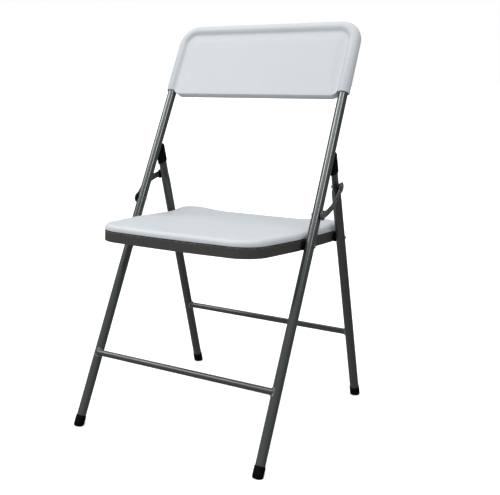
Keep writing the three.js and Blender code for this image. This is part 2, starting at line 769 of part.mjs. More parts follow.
// A bowed plate with a round eye at each pivot. The same stamping is used on both sides, so
// its bow points up on the left and, turned over, down on the right.
function linkPlate(sign) {
  const chord = linkRearPivot.distanceTo(linkFrontPivot);
  const radius = ((chord / 2) ** 2 + LINK_BOW ** 2) / (2 * LINK_BOW);
  const bowCentreZ = -sign * (LINK_BOW - radius);
  const upwards = -sign * (Math.PI / 2);
  const spread = Math.asin(chord / 2 / radius);
  const band = new THREE.Shape();
  band.absarc(chord / 2, bowCentreZ, radius + LINK_WAIST / 2, upwards - spread, upwards + spread, false);
  band.absarc(chord / 2, bowCentreZ, radius - LINK_WAIST / 2, upwards + spread, upwards - spread, true);
  const faces = [sign * LINK_INNER_X, sign * linkOuterX].sort((p, q) => p - q);
  let plate = solid(sidePlate(band, faces[0], faces[1], BEND_STEPS));
  for (const along of [0, chord]) {
    plate = plate.add(solid(crossPin(LINK_END_R, faces[0], faces[1], along, 0, TUBE_SIDES)));
  }
  for (const along of [0, chord]) {
    const throughX = [faces[0] - LINK_THICKNESS, faces[1] + LINK_THICKNESS];
    plate = plate.subtract(solid(crossPin(RIVET_R + GAP, ...throughX, along, 0)));
  }
  return geometryOf(plate);
}

const linkReach = linkRearPivot.clone().sub(linkFrontPivot);

for (const { side, sign } of SIDES) {
  const link = new THREE.Group(); // its origin is pivot D and its Y runs to the rear pivot
  link.position.set(0, linkFrontPivot.x, linkFrontPivot.y);
  link.rotation.x = linkReach.angle();
  upright.add(link);
  addMesh(link, `fold_link_${side}`, linkPlate(sign), linkPaint);
  // The outer half of the rear rivet, held in the link.
  const head = [
    [0, LINK_INNER_X],
    [RIVET_R, LINK_INNER_X],
    [RIVET_R, linkOuterX + GAP],
    ...rivetHead(linkOuterX + GAP, LINK_HEAD),
  ];
  addMesh(
    link,
    `rear_link_rivet_head_${side}`,
    towardsX(turned(head, SMALL_SIDES), sign),
    zincSteel,
  ).position.y = linkReach.length();
}

// The origin is on the floor under the middle of the whole chair.
const extent = new THREE.Box3().setFromObject(upright, true);
upright.position.y = -(extent.min.y + extent.max.y) / 2;

export default chair;
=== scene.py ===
import json
import math

import bmesh
import bpy
from mathutils import Matrix, Vector

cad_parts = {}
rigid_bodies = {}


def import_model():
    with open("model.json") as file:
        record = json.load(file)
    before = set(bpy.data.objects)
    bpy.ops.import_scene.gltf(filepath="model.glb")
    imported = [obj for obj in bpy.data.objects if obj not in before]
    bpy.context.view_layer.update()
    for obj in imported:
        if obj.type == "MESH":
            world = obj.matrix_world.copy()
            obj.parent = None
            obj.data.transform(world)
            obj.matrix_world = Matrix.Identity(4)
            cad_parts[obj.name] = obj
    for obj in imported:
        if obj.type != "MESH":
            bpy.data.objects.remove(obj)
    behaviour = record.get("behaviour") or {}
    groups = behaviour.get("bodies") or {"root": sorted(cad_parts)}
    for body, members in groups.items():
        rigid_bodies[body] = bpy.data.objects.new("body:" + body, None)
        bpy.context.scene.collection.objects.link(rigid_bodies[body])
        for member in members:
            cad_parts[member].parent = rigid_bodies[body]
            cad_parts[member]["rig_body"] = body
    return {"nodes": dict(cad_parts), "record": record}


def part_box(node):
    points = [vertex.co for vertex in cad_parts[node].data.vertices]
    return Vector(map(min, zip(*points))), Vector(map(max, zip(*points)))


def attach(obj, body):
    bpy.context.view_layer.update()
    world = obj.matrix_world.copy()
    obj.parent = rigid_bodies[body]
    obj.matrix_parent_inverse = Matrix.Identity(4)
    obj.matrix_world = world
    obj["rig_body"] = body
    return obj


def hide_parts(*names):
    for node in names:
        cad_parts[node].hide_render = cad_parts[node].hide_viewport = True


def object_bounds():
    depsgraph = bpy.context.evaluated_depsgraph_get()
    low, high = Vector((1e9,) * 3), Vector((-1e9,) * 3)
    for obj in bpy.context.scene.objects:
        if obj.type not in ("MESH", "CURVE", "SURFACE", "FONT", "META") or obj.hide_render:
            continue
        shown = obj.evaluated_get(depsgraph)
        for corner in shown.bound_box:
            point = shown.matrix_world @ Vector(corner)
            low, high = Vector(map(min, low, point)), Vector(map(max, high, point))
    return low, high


# The folding chair's looks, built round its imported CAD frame. Metres, +Z up, the sitter faces -Y.
# Right is +X, as seen from the front. Each piece is made in the axes of the tube, seat or link that
# carries it. It takes its body and slot from a CAD node, which it stands for unless it is a weld.

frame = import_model()
cad_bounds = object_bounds()
record = frame["record"]

# ---------------------------------------------------------------- sizes

# As in the CAD, unless a line says otherwise
MM = 0.001
GAP = 0.3 * MM
TUBE_R = 9.5 * MM
BAR_R = 6.35 * MM
FRONT_BAR_AHEAD = 7.5 * MM
FRAME_TOP = 904 * MM
FRAME_BEND_R = 34 * MM
TAPER_START = 520 * MM
TOP_HALF_SPACING = 207 * MM

FOOT_R = 10.6 * MM
FOOT_LENGTH = 21 * MM
FOOT_BELOW = 2.5 * MM
FOOT_EDGE_R = 4.5 * MM

SLEEVE_R = 13 * MM
SLEEVE_BOTTOM = 756 * MM
PANEL_BOTTOM = 746 * MM
PANEL_HALF = 9.5 * MM
PANEL_LIP_CORNER = 18 * MM  # 2 mm rounder than in the CAD
BACK_SCREW_U = 800 * MM

SEAT_HALF_WIDTH = 195.5 * MM
SEAT_CORNERS = [  # x, y and radius, from the front to the rear
    (177.8 * MM, -166 * MM, 58 * MM),
    (SEAT_HALF_WIDTH, -14 * MM, 250 * MM),
    (SEAT_HALF_WIDTH, 195 * MM, 45 * MM),
]
SEAT_FRONT = (0, -175 * MM, 1790 * MM)  # the bow of the front edge
RIM_HEIGHT = 19.9 * MM
RIM_WALL = 1.5 * MM
RIM_FLANGE = 16 * MM
PAD_BASE = RIM_HEIGHT / 2 + GAP
PAD_THICKNESS = 13.5 * MM
PAD_CORNER = 20 * MM
PAD_RISE_Y = (105 * MM, 162 * MM)
PAD_RISE_X = (85 * MM, 188 * MM)  # a gentler slope than the CAD's
PAD_NOSE_R = 9.5 * MM  # 0.5 mm rounder than in the CAD

LINK_END_R = 10 * MM
LINK_WAIST = 12 * MM
LINK_BOW = 11 * MM
LINK_FACES = (221.5 * MM, 223.5 * MM)

RIVET_R = 3.2 * MM
PIVOT_HEAD = (4.4 * MM, 1.4 * MM)  # radius and height
LINK_HEAD = (7 * MM, 1.8 * MM)
RIVET_TAIL_R = 3.8 * MM
RIVET_TAIL_H = 0.5 * MM  # 0.3 mm thinner than in the CAD
SPACER_R = 10 * MM
WASHER_R = 8 * MM
SCREW_R = 1.9 * MM
SCREW_HEAD_R = 4 * MM
SCREW_HEAD_H = 1.8 * MM
SCREW_LENGTH = 11 * MM

FLAT = (488 * MM, 510 * MM)  # the rear leg goes from round to flat here
FLAT_HALF = (4.5 * MM, 13 * MM)  # across the chair and along it
CAP = (533 * MM, 574 * MM)  # 6 mm shorter than in the CAD, for its rounded crown
CAP_HALF = (6.6 * MM, 15 * MM)
CAP_SOCKET = 18 * MM

# Only in these finer surfaces
SIDES = (("right", 1), ("left", -1))
ROUND = 48
SMALL_ROUND = 32
TUBE_START = FOOT_BELOW + 2 * MM  # the tubes end inside the feet
END_BAND = 4 * MM  # a ring of vertices this far from a tube's end keeps its edge wear there
MID_LEG = 250 * MM  # one more ring halfway up the leg
SLEEVE_MOUTH = 6 * MM  # how far the skin turns up inside the sleeve
SLEEVE_BORE_EASE = 0.5 * MM
SLEEVE_LIP_R = 0.9 * MM
SLEEVE_LIP_MIDDLE = 0.26 * MM  # how far that rounding's middle is from the square corner
PANEL_EDGE_HALF = 7.8 * MM  # the panel's faces dip by the sleeves
PANEL_DIP = (14 * MM, 34 * MM)  # and rise to their full height between these insets
PANEL_FILLET = 9 * MM
PANEL_LIP_R = 1.6 * MM
PANEL_LIP_AHEAD = 6 * MM  # the faces reach this much nearer to the lower edge than to the sides
PANEL_LEAST_R = 4 * MM
CAP_CROWN = 5 * MM
FRONT_BAR_END = 1.5 * MM  # from a tube's centre to the bar's end
REAR_BAR_END = TUBE_R - 1 * MM
BAR_EDGE = 1.5 * MM
WELD_R = 1.9 * MM
WELD_STAND_OFF = 0.5 * MM  # from the bar's surface to the middle of the bead
WELD_AHEAD = 0.6 * MM  # how far ahead of the tube that middle may be
WELD_STEPS = 60
RIVET_EDGE = 0.5 * MM
SEAT_STEP = 12 * MM
PAD_STEP = 6 * MM
RIM_SECTION_STEP = 3 * MM  # fine enough to keep edge wear at the rim's edges
LINK_NECK = 20 * MM  # from an eye's centre to the plain strip
LINK_NECK_BLEND = (3.5 * MM, 6 * MM)  # how softly eye and strip join, reached at this distance

# (inset, lift) of the pad's underside in mm: a recess, its rim, then a shadow gap below the edge
PAD_UNDERSIDE = (
    (30, 2.5),
    (27.5, 2.1),
    (26, 0.4),
    (24, 0),
    (5, 0),
    (5, 1.4),
    (0.5, 1.5),
    (0.15, 1.65),
    (0, 2),
)

# ---------------------------------------------------------------- places, from the frame

joint_at = {joint["name"]: Vector(joint["pos_m"]) for joint in record["behaviour"]["joints"]}
mounts = {mount["name"]: mount for mount in record["mounts"]}
seat_pivot = joint_at["seat_fold"]
leg_pivot = joint_at["leg_fold"]
link_pivot = joint_at["link_fold_right"]
front_sole = Vector(mounts["front_foot_right_sole"]["pos_m"])
rear_sole = Vector(mounts["rear_foot_right_sole"]["pos_m"])
seat_up = mounts["seat_top"]["axis"]
HALF_SPACING = front_sole.x

TUBE_OUTER_X = HALF_SPACING + TUBE_R
TUBE_INNER_X = HALF_SPACING - TUBE_R


def centre(node):
    low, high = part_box(node)
    return (low + high) / 2


link_rear_pivot = centre("rear_link_rivet_head_right")
front_lean = math.atan2(link_pivot.y - front_sole.y, link_pivot.z)
rear_lean = math.atan2(rear_sole.y - leg_pivot.y, leg_pivot.z)
seat_tilt = math.atan2(seat_up[1], seat_up[2])
link_reach = Vector((link_rear_pivot.y - link_pivot.y, link_rear_pivot.z - link_pivot.z))


def axes(y, z, turn):
    """The axes of a part whose origin is (0, y, z), turned about X."""
    return Matrix.Translation((0, y, z)) @ Matrix.Rotation(turn, 4, "X")


FRONT = axes(front_sole.y, 0, -front_lean)  # Z runs up the front tubes
REAR = axes(rear_sole.y, 0, rear_lean)  # Z runs up the rear legs
SEAT = axes(seat_pivot.y, seat_pivot.z, -seat_tilt)
LINK = axes(link_pivot.y, link_pivot.z, math.atan2(link_reach.y, link_reach.x))  # Y runs along the link

link_rear_s = (REAR.inverted() @ link_rear_pivot).z
front_bar_u = (FRONT.inverted() @ centre("front_crossbar")).z
rear_bar_s = (REAR.inverted() @ centre("rear_crossbar")).z


def at_x(place, x):
    return place @ Matrix.Translation((x, 0, 0))


def pin_place(pivot, sign):
    """A pivot pin's axes: Z points outwards across the chair from the middle plane."""
    return Matrix.Translation((0, pivot.y, pivot.z)) @ Matrix.Rotation(sign * math.pi / 2, 4, "Y")


# ---------------------------------------------------------------- shape helpers


def clamp(value):
    return min(max(value, 0), 1)


def smooth(value, start, end):
    """0 before start, 1 after end, easing between them."""
    share = clamp((value - start) / (end - start))
    return share * share * (3 - 2 * share)


def mix(low, high, share):
    return low + (high - low) * share


def circle(radius, sides, z=0):
    turns = [2 * math.pi * i / sides for i in range(sides)]
    return [Vector((radius * math.cos(turn), radius * math.sin(turn), z)) for turn in turns]


def loft(rings, loop=False):
    """A skin over rings of points. A ring of one point closes to a tip, and a whole ring at an
    end gets a face. With loop, the last ring joins the first."""
    bm = bmesh.new()
    rows = [[bm.verts.new(point) for point in ring] for ring in rings]
    for lower, upper in zip(rows, rows[1:] + rows[:1] if loop else rows[1:]):
        count = max(len(lower), len(upper))
        for i in range(count):
            j = (i + 1) % count
            corners = [lower[i % len(lower)], lower[j % len(lower)]]
            corners += [upper[j % len(upper)], upper[i % len(upper)]]
            bm.faces.new(list(dict.fromkeys(corners)))
    if not loop:
        for row in (rows[0], rows[-1]):
            if len(row) > 1:
                bm.faces.new(row)
    return bm


def lathe(profile, sides=SMALL_ROUND, loop=False):
    """A turned piece about Z from (radius, height) pairs."""
    rings = [circle(r, sides, z) if r > 0 else [Vector((0, 0, z))] for r, z in profile]
    return loft(rings, loop)


def outline(corners, spacing=math.inf, arc_step=math.radians(7.5)):
    """(point, inward normal) pairs round a closed outline, anticlockwise, from corners given as
    (x, y, radius). Straight runs are cut at the spacing."""
    runs = []
    for i, (x, y, radius) in enumerate(corners):
        corner = Vector((x, y))
        incoming = (corner - Vector(corners[i - 1][:2])).normalized()
        outgoing = (Vector(corners[(i + 1) % len(corners)][:2]) - corner).normalized()
        turn = math.atan2(incoming.cross(outgoing), incoming.dot(outgoing))
        bend = math.copysign(radius, turn)
        start = corner - incoming * radius * math.tan(abs(turn) / 2)
        inward = Vector((-incoming.y, incoming.x))
        middle = start + inward * bend
        steps = max(1, math.ceil(abs(turn) / arc_step), math.ceil(abs(turn) * radius / spacing))
        arc = []
        for k in range(steps + 1):
            normal = inward.copy()
            normal.rotate(Matrix.Rotation(turn * k / steps, 2))
            arc.append((middle - normal * bend, normal))
        runs.append(arc)
    pairs = []
    for run, following in zip(runs, runs[1:] + runs[:1]):
        pairs += run
        end, normal = run[-1]
        straight = following[0][0] - end
        pieces = math.ceil(straight.length / spacing)
        pairs += [(end + straight * k / pieces, normal) for k in range(1, pieces)]
    return pairs


def cut_level(bm, point, normal, edge_r):
    """Cuts away what is behind a plane, closes the cut and eases its edge."""
    geometry = bm.verts[:] + bm.edges[:] + bm.faces[:]
    cut = bmesh.ops.bisect_plane(
        bm, geom=geometry, dist=1e-7, plane_co=point, plane_no=normal, clear_inner=True
    )
    rim = [item for item in cut["geom_cut"] if isinstance(item, bmesh.types.BMEdge)]
    bmesh.ops.edgeloop_fill(bm, edges=rim)
    bmesh.ops.bevel(bm, geom=rim, offset=edge_r, segments=3, affect="EDGES", profile=0.5)


# ---------------------------------------------------------------- pieces

slot_of = {part["node"]: part["material_slot"] for part in record["subparts"]}
EDGE_START = math.radians(12)
EDGE_FULL = math.radians(30)


def add_piece(name, bm, place, node, stands_for=True, material=None, sharp=40):
    """A piece on the body and in the slot of a CAD node, which it stands for unless told not to.
    Its mesh is in the CAD's frame, and attributes keep what the materials read: Edge is 1 where the
    surface turns quickly, for wear, Height is above the floor at rest, for dust, and Local is the
    place in the piece's own axes. No point leaves the CAD model's box."""
    bmesh.ops.recalc_face_normals(bm, faces=bm.faces)
    for face in bm.faces:
        face.smooth = True
    edge_layer = bm.verts.layers.float.new("Edge")
    for edge in bm.edges:
        angle = edge.calc_face_angle(0)
        edge.smooth = angle < math.radians(sharp)
        wear = clamp((angle - EDGE_START) / (EDGE_FULL - EDGE_START))
        for vert in edge.verts:
            vert[edge_layer] = max(vert[edge_layer], wear)
    height_layer = bm.verts.layers.float.new("Height")
    local_layer = bm.verts.layers.float_vector.new("Local")
    for vert in bm.verts:
        vert[local_layer] = vert.co
        spot = place @ vert.co
        vert.co = [min(max(c, low), high) for c, low, high in zip(spot, *cad_bounds)]
        vert[height_layer] = vert.co.z
    mesh = bpy.data.meshes.new(name)
    bm.to_mesh(mesh)
    bm.free()
    mesh.materials.append(material or MATERIALS[slot_of[node]])
    piece = bpy.data.objects.new(name, mesh)
    bpy.context.scene.collection.objects.link(piece)
    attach(piece, frame["nodes"][node]["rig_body"])
    if stands_for:
        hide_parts(node)
    return piece


def carve(piece, cutter_bm, place):
    """Cuts a shape out of a piece for good."""
    cutter_mesh = bpy.data.meshes.new("cutter")
    cutter_bm.transform(place)
    bmesh.ops.recalc_face_normals(cutter_bm, faces=cutter_bm.faces)
    cutter_bm.to_mesh(cutter_mesh)
    cutter_bm.free()
    cutter = bpy.data.objects.new("cutter", cutter_mesh)
    bpy.context.scene.collection.objects.link(cutter)
    modifier = piece.modifiers.new("carve", "BOOLEAN")
    modifier.object = cutter
    modifier.solver = "EXACT"
    bpy.context.view_layer.update()
    carved = bpy.data.meshes.new_from_object(piece.evaluated_get(bpy.context.evaluated_depsgraph_get()))
    piece.modifiers.clear()
    carved.name = piece.name
    piece.data = carved
    bpy.data.objects.remove(cutter)


# ---------------------------------------------------------------- materials

GREY_STEEL = (0.3, 0.3, 0.3)
DUST = (0.17, 0.165, 0.155)
DUST_HEIGHTS = (0.14, 0.02)  # dust thickens from the first height down to the second
NOISE_RANGE = (0.3, 0.7)  # where nearly all of a noise's values lie


class Shader:
    """A Principled material with short ways to add the nodes that its detail needs."""

    def __init__(self, name, **constants):
        self.material = bpy.data.materials.new(name)
        self.material.use_nodes = True
        self.tree = self.material.node_tree
        self.surface = self.tree.nodes["Principled BSDF"]
        self.place = self.node("ShaderNodeAttribute", attribute_name="Local").outputs["Vector"]
        self.edge = self.node("ShaderNodeAttribute", attribute_name="Edge").outputs["Fac"]
        self.rest_height = self.node("ShaderNodeAttribute", attribute_name="Height").outputs["Fac"]
        for socket, value in constants.items():
            self.surface.inputs[socket.replace("_", " ")].default_value = value

    def node(self, kind, **settings):
        made = self.tree.nodes.new(kind)
        for key, value in settings.items():
            setattr(made, key, value)
        return made

    def link(self, source, target):
        self.tree.links.new(source, target)

    def noise(self, size, detail=2, stretch=(1, 1, 1)):
        """Noise from 0 to 1 whose features are about size across, longer along stretched axes."""
        mapping = self.node("ShaderNodeMapping")
        mapping.inputs["Scale"].default_value = [1 / (size * axis) for axis in stretch]
        self.link(self.place, mapping.inputs["Vector"])
        texture = self.node("ShaderNodeTexNoise")
        texture.inputs["Scale"].default_value = 1
        texture.inputs["Detail"].default_value = detail
        texture.inputs["Roughness"].default_value = 0.5
        self.link(mapping.outputs["Vector"], texture.inputs["Vector"])
        return texture.outputs["Fac"]

    def ramp(self, source, low, high, to_low=0, to_high=1):
        """Maps source from low..high to to_low..to_high, clamped."""
        mapped = self.node("ShaderNodeMapRange", clamp=True)
        limits = {"From Min": low, "From Max": high, "To Min": to_low, "To Max": to_high}
        for socket, value in limits.items():
            mapped.inputs[socket].default_value = value
        self.link(source, mapped.inputs["Value"])
        return mapped.outputs["Result"]

    def times(self, first, second):
        product = self.node("ShaderNodeMath", operation="MULTIPLY")
        for socket, value in zip(product.inputs, (first, second)):
            if isinstance(value, (int, float)):
                socket.default_value = value
            else:
                self.link(value, socket)
        return product.outputs["Value"]

    def colour(self, base, *layers):
        """The base colour with (colour, mask) layers over it."""
        below = None
        for tint, mask in layers:
            blend = self.node("ShaderNodeMix", data_type="RGBA")
            colour_a, colour_b, result = blend.inputs[6], blend.inputs[7], blend.outputs[2]
            if below is None:
                colour_a.default_value = (*base, 1)
            else:
                self.link(below, colour_a)
            colour_b.default_value = (*tint, 1)
            self.link(mask, blend.inputs["Factor"])
            below = result
        self.link(below, self.surface.inputs["Base Color"])

    def roughness(self, source, low, high):
        self.link(self.ramp(source, *NOISE_RANGE, low, high), self.surface.inputs["Roughness"])

    def bumps(self, *layers):
        """(height source, depth in metres) layers."""
        normal = None
        for source, depth in layers:
            bump = self.node("ShaderNodeBump")
            bump.inputs["Distance"].default_value = depth
            self.link(source, bump.inputs["Height"])
            if normal is not None:
                self.link(normal, bump.inputs["Normal"])
            normal = bump.outputs["Normal"]
        self.link(normal, self.surface.inputs["Normal"])


def powder_coat(name, base, light, metallic, rough, specular=0.5):
    """Satin paint with fine flake, orange peel, faint streaks along the tube, worn edges and a
    little dust near the floor."""
    shader = Shader(name, Metallic=metallic, Specular_IOR_Level=specular)
    flake = shader.noise(0.5 * MM, detail=1)
    streaks = shader.noise(6 * MM, detail=3, stretch=(1, 1, 12))
    patches = shader.noise(70 * MM, detail=3)
    chips = shader.noise(5 * MM, detail=4)
    worn = shader.times(shader.edge, shader.ramp(chips, 0.5, 0.62, 0, 0.5))
    low_down = shader.ramp(shader.rest_height, *DUST_HEIGHTS)
    dust = shader.times(low_down, shader.ramp(patches, 0.4, 0.65, 0, 0.12))
    shader.colour(
        base,
        (light, shader.ramp(flake, 0.35, 0.7, 0, 0.2)),
        (light, shader.ramp(streaks, 0.35, 0.75, 0, 0.06)),
        (DUST, dust),
        (GREY_STEEL, worn),
    )
    shader.roughness(patches, rough - 0.02, rough + 0.04)
    shader.bumps((shader.noise(1.6 * MM, detail=2), 0.007 * MM), (flake, 0.004 * MM))
    return shader.material


def moulded_plastic():
    """Pale plastic with a fine spark-eroded grain, faint flow marks and light scuffs."""
    shader = Shader("pale_plastic", Specular_IOR_Level=0.4)
    grain = shader.noise(0.45 * MM, detail=2)
    flow = shader.noise(90 * MM, detail=3, stretch=(2.5, 1, 1))
    mottle = shader.noise(14 * MM, detail=4)
    scratches = shader.noise(1.1 * MM, detail=2, stretch=(22, 1, 1))
    scuffed = shader.times(shader.ramp(scratches, 0.66, 0.74), shader.ramp(mottle, 0.5, 0.62, 0, 0.35))
    shader.colour(
        (0.54, 0.566, 0.59),
        ((0.505, 0.535, 0.562), shader.ramp(flow, 0.4, 0.7, 0, 0.4)),
        ((0.60, 0.625, 0.65), shader.ramp(mottle, 0.45, 0.7, 0, 0.25)),
        ((0.44, 0.455, 0.47), scuffed),
        ((0.66, 0.685, 0.71), shader.times(shader.edge, 0.35)),
    )
    shader.roughness(mottle, 0.46, 0.56)
    shader.bumps((grain, 0.02 * MM), (mottle, 0.03 * MM))
    return shader.material


def dark_moulding(name, base, rough, grain_size):
    """Black plastic or rubber: a matt grain, dust in patches and edges rubbed grey."""
    shader = Shader(name, Specular_IOR_Level=0.03)
    grain = shader.noise(grain_size, detail=2)
    patches = shader.noise(9 * MM, detail=4)
    dusty = (0.008, 0.008, 0.0085)
    shader.colour(
        base,
        (dusty, shader.ramp(patches, 0.45, 0.75, 0, 0.3)),
        (dusty, shader.times(shader.edge, shader.ramp(patches, 0.35, 0.6, 0, 0.6))),
    )
    shader.roughness(patches, rough - 0.06, rough + 0.08)
    shader.bumps((grain, 0.04 * MM), (patches, 0.05 * MM))
    return shader.material


def zinc_plate():
    """Plated steel with a fine crystalline mottle and dull spots."""
    shader = Shader("zinc_steel", Metallic=1.0)
    spangle = shader.noise(1.2 * MM, detail=3)
    dull = shader.noise(3.5 * MM, detail=4)
    shader.colour(
        (0.16, 0.185, 0.21),
        ((0.26, 0.29, 0.32), shader.ramp(spangle, 0.4, 0.65)),
        ((0.05, 0.05, 0.05), shader.ramp(dull, 0.5, 0.65, 0, 0.6)),
    )
    shader.roughness(dull, 0.2, 0.34)
    shader.bumps((spangle, 0.01 * MM))
    return shader.material


MATERIALS = {
    "frame_paint": powder_coat(
        "frame_paint", (0.1, 0.106, 0.106), light=(0.135, 0.143, 0.145), metallic=0.8, rough=0.2
    ),
    "rim_paint": powder_coat(
        "rim_paint", (0.052, 0.05, 0.046), light=(0.06, 0.058, 0.054), metallic=0.1, rough=0.6, specular=0.2
    ),
    "link_paint": powder_coat(
        "link_paint", (0.055, 0.056, 0.053), light=(0.08, 0.081, 0.078), metallic=0.3, rough=0.45
    ),
    "pale_plastic": moulded_plastic(),
    "black_plastic": dark_moulding("black_plastic", (0.002,) * 3, rough=0.6, grain_size=0.6 * MM),
    "black_rubber": dark_moulding("black_rubber", (0.0025,) * 3, rough=0.7, grain_size=0.9 * MM),
    "zinc_steel": zinc_plate(),
}
# A darker copy of the frame paint for the rear legs and crossbars: its darkness is painted shade
SHADED_FRAME_PAINT = powder_coat("shaded_frame_paint", (0.066, 0.069, 0.068), light=(0.1, 0.105, 0.105), metallic=0.6, rough=0.32)
# A lighter copy of the frame paint for the weld beads: its lightness is a painted highlight
WELD_HIGHLIGHT = powder_coat("weld_highlight_paint", (0.2, 0.205, 0.208), light=(0.3, 0.305, 0.31), metallic=0.6, rough=0.38)

# ---------------------------------------------------------------- front frame


def tube_half_spacing(u):
    """How far the front tube's centre is from the middle plane at a height up it."""
    share = clamp((u - TAPER_START) / (FRAME_TOP - FRAME_BEND_R - TAPER_START))
    return mix(HALF_SPACING, TOP_HALF_SPACING, share)


def frame_path(start_u):
    """(point, tangent) stations along the inverted U, in the front frame's X and Z."""
    bend_steps = 16
    levels = (start_u, max(start_u, TAPER_START), FRAME_TOP - FRAME_BEND_R)
    straight = [(tube_half_spacing(u), u) for u in levels]
    stations = [(Vector((x, 0, u)), Vector((0, 0, 1))) for x, u in straight[:-1]]
    for sign in (1, -1):
        middle = Vector((sign * (TOP_HALF_SPACING - FRAME_BEND_R), 0, FRAME_TOP - FRAME_BEND_R))
        for k in range(bend_steps + 1):
            turn = math.pi / 2 * (k / bend_steps + (0 if sign > 0 else 1))
            out = Vector((math.cos(turn), 0, math.sin(turn)))
            stations.append((middle + out * FRAME_BEND_R, Vector((-out.z, 0, out.x))))
    stations += [(Vector((-x, 0, u)), Vector((0, 0, -1))) for x, u in reversed(straight[:-1])]
    return stations


def sweep(stations):
    """Rings about (point, tangent, radius) stations that lie in an XZ plane."""
    rings = []
    for point, tangent, radius in stations:
        side = Vector((0, 1, 0))
        out = tangent.cross(side)
        turns = [2 * math.pi * i / ROUND for i in range(ROUND)]
        rings.append([point + (side * math.cos(t) + out * math.sin(t)) * radius for t in turns])
    return loft(rings)


def front_tube():
    path = frame_path(TUBE_START)
    (right_end, up), (left_end, down) = path[0], path[-1]
    path[1:1] = [(right_end + up * END_BAND, up)]
    path[-1:-1] = [(left_end - down * END_BAND, down)]
    stations = [(point, tangent, TUBE_R) for point, tangent in path]
    add_piece("front_frame_tube_finish", sweep(stations), FRONT, "front_frame_tube")


def backrest():
    """The sleeve round the tube and the panel between, whose faces run into the sleeve."""
    path = frame_path(SLEEVE_BOTTOM)
    bore = TUBE_R + GAP
    end_ring = [(SLEEVE_MOUTH, bore), (SLEEVE_BORE_EASE, bore), (0, bore + SLEEVE_BORE_EASE)]
    end_ring += [(0, SLEEVE_R - SLEEVE_LIP_R), (SLEEVE_LIP_MIDDLE, SLEEVE_R - SLEEVE_LIP_MIDDLE)]
    end_ring += [(SLEEVE_LIP_R, SLEEVE_R)]
    (right_end, up), (left_end, down) = path[0], path[-1]
    stations = [(right_end + up * rise, up, radius) for rise, radius in end_ring]
    stations += [(point, tangent, SLEEVE_R) for point, tangent in path[2:-2]]
    stations += [(left_end - down * rise, down, radius) for rise, radius in reversed(end_ring)]
    shell = sweep(stations)
    panel = backrest_panel()
    mesh = bpy.data.meshes.new("panel")
    panel.to_mesh(mesh)
    panel.free()
    shell.from_mesh(mesh)
    bpy.data.meshes.remove(mesh)
    add_piece("backrest_moulding", shell, FRONT, "backrest_shell")


def panel_ring(side_inset, lip_inset, side_half, lip_half, face):
    """One ring of the panel's skin: insets from the tube's centre line and from the lower edge,
    and how far the face stands from the middle plane at each."""
    bottom = PANEL_BOTTOM + lip_inset
    top = FRAME_TOP - side_inset
    low_x = tube_half_spacing(bottom) - side_inset
    top_x = TOP_HALF_SPACING - side_inset
    top_r = max(FRAME_BEND_R - side_inset, PANEL_LEAST_R)
    lip_r = max(PANEL_LIP_CORNER - lip_inset, PANEL_LEAST_R)
    right = [(low_x, bottom, lip_r), (top_x, top, top_r)]
    left = [(-x, u, r) for x, u, r in reversed(right)]
    ring = []
    for point, inward in outline(right + left):
        share = clamp(inward.y) ** 2
        ring.append(Vector((point.x, face * mix(side_half, lip_half, share), point.y)))
    return ring


def backrest_panel():
    """The panel's two faces and the lower edge between them. Along the sleeve each face starts with
    a fillet, and along the lower edge with a rounding."""
    reach = SLEEVE_R + PANEL_FILLET
    level = PANEL_EDGE_HALF + PANEL_FILLET
    fillet_end = math.sqrt(reach**2 - level**2)
    fillet_start = fillet_end * SLEEVE_R / reach
    steps = 7
    rows = []
    for k in range(steps + 1):
        share = k / steps
        inset = mix(fillet_start, fillet_end, share)
        stand = level - math.sqrt(PANEL_FILLET**2 - (fillet_end - inset) ** 2)
        turn = math.pi / 2 * share
        lip_inset = PANEL_LIP_R * (1 - math.cos(turn))
        lip_stand = PANEL_HALF - PANEL_LIP_R * (1 - math.sin(turn))
        rows.append((inset, lip_inset, stand, lip_stand))
    for inset in [16 * MM + 3 * MM * k for k in range(7)] + [45 * MM, 60 * MM, 70 * MM]:
        stand = mix(PANEL_EDGE_HALF, PANEL_HALF, smooth(inset, *PANEL_DIP))
        rows.append((inset, inset - PANEL_LIP_AHEAD, stand, PANEL_HALF))
    front = [panel_ring(*row, -1) for row in reversed(rows)]
    back = [panel_ring(*row, 1) for row in rows]
    return loft(front + back)


def cross_slot():
    """A cross-head recess at the top of a screw head, narrower at its bottom."""
    arm, half, depth, narrowing = 2.2 * MM, 0.42 * MM, 1.0 * MM, 0.55
    quarter = [Vector((x, y, 0)) for x, y in ((arm, half), (half, half), (half, arm))]
    ring = []
    for k in range(4):
        ring += [Matrix.Rotation(k * math.pi / 2, 3, "Z") @ point for point in quarter]
    bottom = [point * narrowing + Vector((0, 0, SCREW_HEAD_H - depth)) for point in ring]
    top = [point + Vector((0, 0, SCREW_HEAD_H + depth)) for point in ring]
    return loft([bottom, top])


def screw(name, place, node):
    """A screw along its own -Z, with a cross recess in its domed head."""
    tip_r = 0.4 * SCREW_R
    profile = [(0, -SCREW_LENGTH), (tip_r, -SCREW_LENGTH), (SCREW_R, SCREW_R - SCREW_LENGTH)]
    rim = 0.3 * MM
    profile += [(SCREW_R, 0), (SCREW_HEAD_R - rim, 0), (SCREW_HEAD_R, rim)]
    steps = 6
    for k in range(1, steps):
        turn = math.pi / 2 * k / steps
        profile.append((SCREW_HEAD_R * math.cos(turn), rim + (SCREW_HEAD_H - rim) * math.sin(turn)))
    profile.append((0, SCREW_HEAD_H))
    carve(add_piece(name, lathe(profile), place, node), cross_slot(), place)


